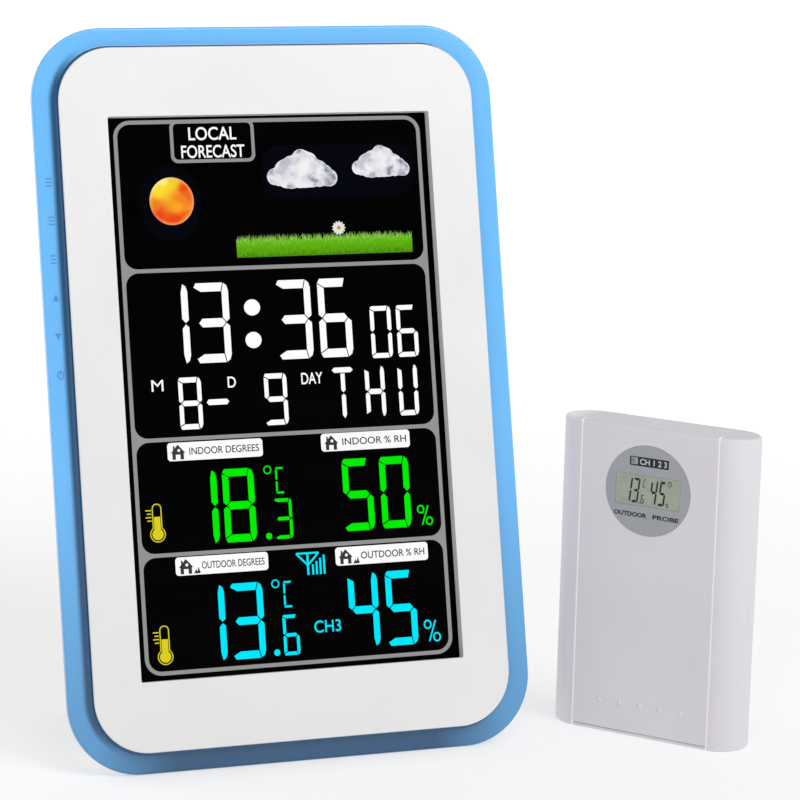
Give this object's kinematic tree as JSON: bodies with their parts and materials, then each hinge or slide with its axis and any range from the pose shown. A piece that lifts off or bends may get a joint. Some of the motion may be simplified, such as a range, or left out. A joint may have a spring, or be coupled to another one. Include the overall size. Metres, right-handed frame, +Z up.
{
  "type": "home weather station",
  "caption": "Leaning colour-display weather console with white panel, blue rim, side keys and folding stand, beside an upright remote sensor with a small round-framed readout.",
  "frame": {"origin": "middle of the narrow flat under the console's rim, on the desk", "axes": "+Z up, -Y the way the console looks, +X to the right seen from the front, towards the remote sensor"},
  "size_m": [0.1832, 0.0932, 0.1881],
  "materials": {
    "rim_blue": "glossy tinted polystyrene",
    "panel_white": "satin white",
    "shell_white": "fine-textured white",
    "sensor_shell": "fine-textured off-white",
    "key_blue": "glossy deep blue",
    "lcd_black": "polished black display glass",
    "sensor_lcd": "grey-green reflective display",
    "disc_grey": "printed silver grey",
    "clear_plastic": "clear acrylic",
    "white_film": "white reflector",
    "holder_black": "moulded black",
    "flex_film": "amber polyimide film",
    "board_green": "solder mask",
    "chip_black": "moulded epoxy",
    "led_white": "light-emitting diodes",
    "screw_steel": "zinc-plated",
    "contact_nickel": "nickel-plated spring steel",
    "copper_wire": "enamelled copper",
    "cell_wrap": "shrink-wrapped battery",
    "switch_black": "moulded switch body",
    "rubber_black": "soft rubber",
    "sounder_black": "moulded sounder case",
    "knob_black": "moulded",
    "element_white": "vented element case"
  },
  "bodies": {
    "console": {"blue_frame": "rim_blue", "front_panel": "panel_white", "lcd_glass": "lcd_black", "light_guide": "clear_plastic", "reflector_plate": "white_film", "backlight_board": "board_green", "backlight_leds": "led_white", "lcd_holder": "holder_black", "lcd_flex": "flex_film", "holder_screws": "screw_steel", "main_board": "board_green", "board_screws": "screw_steel", "main_board_chips": "chip_black", "key_switches": "switch_black", "power_socket": "switch_black", "receiver_board": "board_green", "antenna_wire": "copper_wire", "rear_cover": "shell_white", "cover_screws": "screw_steel", "console_cell_1": "cell_wrap", "console_cell_2": "cell_wrap", "console_cell_3": "cell_wrap", "contact_springs": "contact_nickel", "contact_plates": "contact_nickel", "sounder": "sounder_black", "climate_board": "board_green", "humidity_element": "element_white", "stand_pins": "screw_steel"},
    "stand": {"stand": "shell_white", "stand_pads": "rubber_black"},
    "battery_door": {"battery_door": "shell_white"},
    "sensor": {"sensor_front": "sensor_shell", "sensor_back": "sensor_shell", "sensor_disc": "disc_grey", "sensor_glass": "sensor_lcd", "sensor_zebra_strip": "rubber_black", "sensor_board": "board_green", "sensor_chips": "chip_black", "sensor_antenna": "copper_wire", "sensor_probe": "element_white", "sensor_screws": "screw_steel", "sensor_cell_1": "cell_wrap", "sensor_cell_2": "cell_wrap", "sensor_contact_springs": "contact_nickel", "sensor_contact_plates": "contact_nickel", "channel_switch": "switch_black", "unit_switch": "switch_black"},
    "sensor_door": {"sensor_door": "sensor_shell"},
    "channel_knob": {"channel_knob": "knob_black"},
    "unit_button": {"unit_button": "knob_black"},
    "key_set": {"key_set": "key_blue"},
    "key_history": {"key_history": "key_blue"},
    "key_channel": {"key_channel": "key_blue"},
    "key_up": {"key_up": "key_blue"},
    "key_down": {"key_down": "key_blue"},
    "key_snooze": {"key_snooze": "key_blue"}
  },
  "joints": [
    {"name": "key_set_press", "type": "slide", "parent": "console", "child": "key_set", "axis": [1, 0, 0], "range_m": [0, 0.0006], "stiffness_N_per_m": 600},
    {"name": "key_history_press", "type": "slide", "parent": "console", "child": "key_history", "axis": [1, 0, 0], "range_m": [0, 0.0006], "stiffness_N_per_m": 600},
    {"name": "key_channel_press", "type": "slide", "parent": "console", "child": "key_channel", "axis": [1, 0, 0], "range_m": [0, 0.0006], "stiffness_N_per_m": 600},
    {"name": "key_up_press", "type": "slide", "parent": "console", "child": "key_up", "axis": [1, 0, 0], "range_m": [0, 0.0006], "stiffness_N_per_m": 600},
    {"name": "key_down_press", "type": "slide", "parent": "console", "child": "key_down", "axis": [1, 0, 0], "range_m": [0, 0.0006], "stiffness_N_per_m": 600},
    {"name": "key_snooze_press", "type": "slide", "parent": "console", "child": "key_snooze", "axis": [1, 0, 0], "range_m": [0, 0.0006], "stiffness_N_per_m": 600},
    {"name": "stand_hinge", "type": "hinge", "parent": "console", "child": "stand", "pos_m": [0, 0.03824, 0.05151], "axis": [1, 0, 0], "range_deg": [-34.8, 0]},
    {"name": "battery_door_lift", "type": "slide", "parent": "console", "child": "battery_door", "axis": [0, 0.9641, -0.2656], "range_m": [0, 0.03]},
    {"name": "sensor_lift", "type": "slide", "parent": "console", "child": "sensor", "axis": [0, 0, 1], "range_m": [0, 0.1]},
    {"name": "sensor_door_lift", "type": "slide", "parent": "sensor", "child": "sensor_door", "axis": [0.7478, 0.6639, 0], "range_m": [0, 0.02]},
    {"name": "channel_knob_slide", "type": "slide", "parent": "sensor", "child": "channel_knob", "axis": [0.6639, -0.7478, 0], "range_m": [0, 0.004]},
    {"name": "unit_button_press", "type": "slide", "parent": "sensor", "child": "unit_button", "axis": [-0.7478, -0.6639, 0], "range_m": [0, 0.00035], "stiffness_N_per_m": 400}
  ]
}
